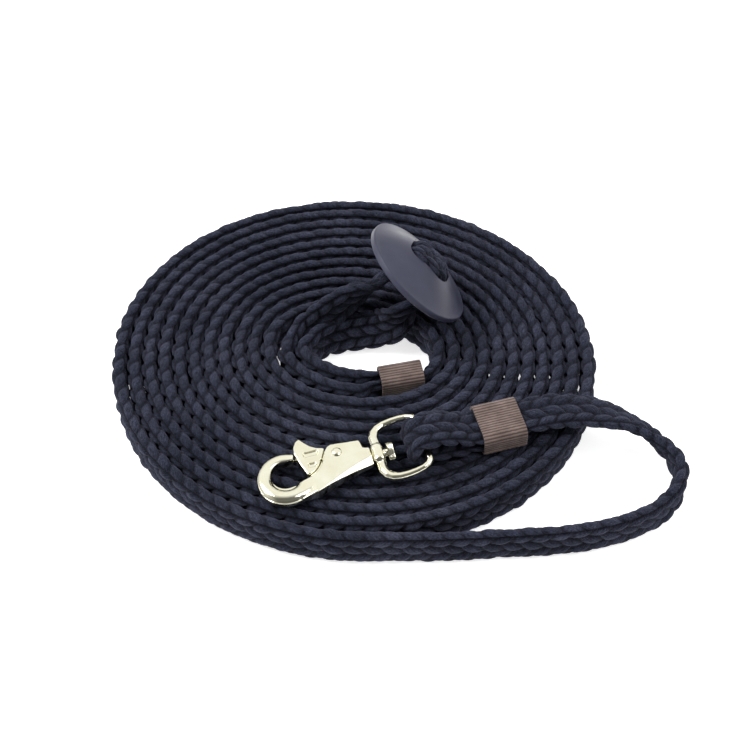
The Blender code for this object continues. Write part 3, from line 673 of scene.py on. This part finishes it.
def lathe(profile, steps):
    """Points of (radius, height) pairs turned about Z, closed at both ends on the axis."""
    points = [(0, 0, profile[0][1])]
    for radius, height in profile[1:-1]:
        points += [(radius * math.cos(math.tau * k / steps), radius * math.sin(math.tau * k / steps), height)
                   for k in range(steps)]
    points.append((0, 0, profile[-1][1]))
    rows = len(profile) - 2
    faces = [tuple(v + 1 for v in face) for face in grid_faces(rows, steps)]
    faces += [(0, 1 + k, 1 + (k + 1) % steps) for k in range(steps)]
    last = len(points) - 1
    faces += [(last, last - steps + (k + 1) % steps, last - steps + k) for k in range(steps)]
    return points, faces


def cut(target, half_length, half_width, corner, bottom, top, centre):
    """Cuts a hole with rounded corners, from bottom to top along the target's Z."""
    outline = rounded_box(half_length, half_width, corner, centre)
    points = [target.matrix_world @ Vector((x, y, z)) for z in (bottom, top) for x, y in outline]
    count = len(outline)
    data = mesh_of("cut", points, grid_faces(2, count) + [range(count), range(count, 2 * count)])
    tool = bpy.data.objects.new("cut", data)
    bpy.context.scene.collection.objects.link(tool)
    change = target.modifiers.new("cut", "BOOLEAN")
    change.operation = "DIFFERENCE"
    change.solver = "EXACT"
    change.object = tool
    return tool


def settle(target, tools=()):
    """Applies the modifiers and removes the tools."""
    depsgraph = bpy.context.evaluated_depsgraph_get()
    data = bpy.data.meshes.new_from_object(target.evaluated_get(depsgraph))
    target.modifiers.clear()
    target.data = data
    for tool in tools:
        bpy.data.objects.remove(tool)


def build_stop(material):
    """A dome with a thin rounded rim and a flat back, two slots and a sunk bar."""
    profile = [(0, STOP_CROWN)]
    for radius in np.arange(0.0015, STOP_RADIUS - STOP_DOME_MARGIN, 0.0015):
        fall = math.cos(radius / (STOP_RADIUS - STOP_DOME_MARGIN) * math.pi / 2) ** 1.2
        profile.append((radius, STOP_RIM + (STOP_CROWN - STOP_RIM) * fall))
    rim = arc((STOP_RADIUS - STOP_RIM_ROUND, STOP_RIM - STOP_RIM_ROUND), STOP_RIM_ROUND, 80, 0, 5)
    profile += rim + [(radius, -height) for radius, height in reversed(rim)]
    profile += [(0.030, -STOP_RIM), (0.015, -STOP_RIM), (0, -STOP_RIM)]
    points, faces = lathe(profile, 120)
    stop = add("rubber_stop", mesh_of("rubber_stop", points, faces), material)
    stop.matrix_world = stop_frame()
    bpy.context.view_layer.update()
    half_thick = CREST_THICKNESS / 2
    half_slot = ROPE_WIDTH * STOP_SQUEEZE[1] / 2 + 0.0006
    half_bar = ROPE_WIDTH * STOP_SQUEEZE[0] / 2 - 0.0004
    tools = [cut(stop, half_thick, half_slot, SLOT_CORNER, -0.02, BAR_TOP + 0.0004, side * SLOT_OFFSET)
             for side in (-1, 1)]
    tools.append(cut(stop, SLOT_OFFSET + half_thick, half_bar, BAR_CORNER, BAR_TOP, 0.02, 0.0))
    settle(stop, tools)
    stop.data.transform(stop.matrix_world)
    stop.matrix_world = Matrix.Identity(4)
    stop.data.shade_smooth()
    stop.data.set_sharp_from_angle(angle=math.radians(40))
    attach(stop, "rope")
    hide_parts("stopper_disc")
    return stop


# ---------------------------------------------------------------- brass

def softened(name, node, body, material, cell, passes, shaping=None):
    """A casting made from a CAD node: its edges are melted round, then shaped in the snap's own frame."""
    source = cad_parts[node]
    casting = add(name, source.data.copy(), material)
    casting.data.materials.clear()
    casting.data.materials.append(material)
    remesh = casting.modifiers.new("melt", "REMESH")
    remesh.mode = "VOXEL"
    remesh.voxel_size = cell
    relax = casting.modifiers.new("relax", "SMOOTH")
    relax.factor = 0.5
    relax.iterations = passes
    settle(casting)
    if shaping:
        placed = snap_frame()
        away = placed.inverted()
        for vertex in casting.data.vertices:
            vertex.co = placed @ shaping(away @ vertex.co)
    casting.data.shade_smooth()
    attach(casting, body)
    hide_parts(node)
    return casting


def shape_body(point):
    """The hook is round in section, and the shank falls away below its crease."""
    x, y, z = point
    if x < HOOK_FROM:
        share = min(1.0, (HOOK_FROM - x) / HOOK_EASE)
        from_centre = math.hypot(x - HOOK_MIDDLE[0], y - HOOK_MIDDLE[1])
        from_middle = (from_centre - HOOK_MIDDLE_RADIUS) / HOOK_HALF_WIDTH
        z *= 1 - share * (1 - math.sqrt(max(0.12, 1 - from_middle**2)))
    past = x - CREASE_START
    below = -0.0020 + 0.30 * past - 4.2 * past**2 - y
    if below > 0 and x > SHANK_FROM:
        z *= 1 - CREASE_FALL * min(1.0, below / CREASE_WIDTH) * min(1.0, (x - SHANK_FROM) / SHANK_EASE)
    return Vector((x, y, z))


def build_rivet(material):
    """The trigger's axle with a dome on each cheek."""
    dome = [(0, CHEEK_FACE + RIVET_DOME)]
    dome += [(RIVET_RADIUS * math.sin(a), CHEEK_FACE + RIVET_DOME * math.cos(a))
             for a in np.radians(np.arange(12, 91, 12))]
    dome += [(RIVET_RADIUS, CHEEK_FACE - 0.0001), (RIVET_BORE_RADIUS, CHEEK_FACE - 0.0001)]
    points, faces = lathe(dome + [(r, -z) for r, z in reversed(dome)], 40)
    rivet = add("rivet_dome", mesh_of("rivet_dome", points, faces), material)
    rivet.matrix_world = snap_frame() @ Matrix.Translation((*PIVOT, 0))
    rivet.data.set_sharp_from_angle(angle=math.radians(50))
    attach(rivet, "snap")
    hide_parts("trigger_rivet")


def finish_spring(material):
    """The spring keeps the CAD's shape, which is already round wire."""
    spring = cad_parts["trigger_spring"]
    spring.data.materials.clear()
    spring.data.materials.append(material)
    spring.data.shade_smooth()


# ---------------------------------------------------------------- stage and camera

def build_stage():
    half = FLOOR_HALF_SIZE
    floor = bpy.data.meshes.new("floor")
    corners = [(-half, -half, 0), (half, -half, 0), (half, half, 0), (-half, half, 0)]
    floor.from_pydata(corners, [], [(0, 1, 2, 3)])
    ground = bpy.data.objects.new("floor", floor)
    bpy.context.scene.collection.objects.link(ground)
    ground.location.z = -0.0002
    look = Shader("floor", Roughness=0.7)
    grain = look.noise(look.place(), 40.0, 3.0)
    look.feed("Base Color", look.ramp(grain, (0.3, (0.93, 0.93, 0.93)), (0.7, (0.96, 0.96, 0.96))))
    look.shader.inputs["Emission Color"].default_value = (1, 1, 1, 1)
    look.shader.inputs["Emission Strength"].default_value = FLOOR_GLOW
    floor.materials.append(look.material)


def build_world():
    """A pale room, dimmer near the horizon and on one side."""
    world = bpy.data.worlds.new("world")
    world.use_nodes = True
    nodes, links = world.node_tree.nodes, world.node_tree.links
    direction = nodes.new("ShaderNodeTexCoord").outputs["Generated"]
    towards = nodes.new("ShaderNodeVectorMath")
    towards.operation = "DOT_PRODUCT"
    towards.inputs[1].default_value = DARK_SIDE
    links.new(direction, towards.inputs[0])
    shade = nodes.new("ShaderNodeValToRGB")
    links.new(towards.outputs["Value"], shade.inputs["Fac"])
    for element, (position, level) in zip(shade.color_ramp.elements, ((0.42, 1.0), (0.84, 0.15))):
        element.position = position
        element.color = (level, level, level, 1)
    height = nodes.new("ShaderNodeSeparateXYZ")
    links.new(direction, height.inputs[0])
    horizon = nodes.new("ShaderNodeMapRange")
    links.new(height.outputs["Z"], horizon.inputs["Value"])
    for label, value in (("From Min", 0.05), ("From Max", 0.50), ("To Min", 0.45), ("To Max", 1.05)):
        horizon.inputs[label].default_value = value
    links.new(shade.outputs["Color"], nodes["Background"].inputs["Color"])
    links.new(horizon.outputs["Result"], nodes["Background"].inputs["Strength"])
    bpy.context.scene.world = world
    bpy.context.scene.view_settings.view_transform = "Standard"
    for place, size, power in SOFT_LIGHTS:
        light = bpy.data.lights.new("soft_light", "AREA")
        light.size = size
        light.energy = power
        lamp = bpy.data.objects.new("soft_light", light)
        bpy.context.scene.collection.objects.link(lamp)
        lamp.location = place
        lamp.rotation_euler = (-Vector(place)).to_track_quat("-Z", "Y").to_euler()


def build_camera():
    data = bpy.data.cameras.new("camera")
    data.sensor_width = 36
    data.lens = CAMERA_LENS
    camera = bpy.data.objects.new("camera", data)
    bpy.context.scene.collection.objects.link(camera)
    back = Vector((0, -math.cos(CAMERA_RISE), math.sin(CAMERA_RISE)))
    camera.location = CAMERA_AIM + CAMERA_DISTANCE * back
    camera.rotation_euler = (-back).to_track_quat("-Z", "Y").to_euler()
    bpy.context.scene.camera = camera


# ---------------------------------------------------------------- build

build_camera()
rope, middle_line = build_rope(rope_material())
tape, thread, brass = tape_material(), thread_material(), brass_material()

plies = PRESSED_THICKNESS + 1.5 * GAP
on_snap_sleeve = Matrix.Translation(on_snap_line(SNAP_SLEEVE_FROM_BAR, sleeve_height()))
on_snap_sleeve @= Matrix.Rotation(SNAP_HEADING, 4, "Z")
on_hand_sleeve = Matrix.Translation(HAND_SLEEVE_CENTRE) @ Matrix.Rotation(HAND_SLEEVE_HEADING, 4, "Z")
snap_sleeve = build_sleeve("snap_tape", "snap_sleeve", on_snap_sleeve, ROPE_WIDTH / 2 + GAP, plies, 0.515,
                           tape, thread)
hand_sleeve = build_sleeve("hand_tape", "hand_sleeve", on_hand_sleeve, plies, ROPE_WIDTH / 2 + GAP, 0.52,
                           tape, thread)
stop = build_stop(rubber_material())

softened("snap_casting", "snap_body", "snap", brass, VOXEL, 5, shape_body)
softened("trigger_casting", "trigger", "trigger", brass, VOXEL, 3)
softened("bow_casting", "swivel_bow", "bow", brass, BOW_VOXEL, 6)
build_rivet(brass)
finish_spring(steel_material())
build_stage()
build_world()
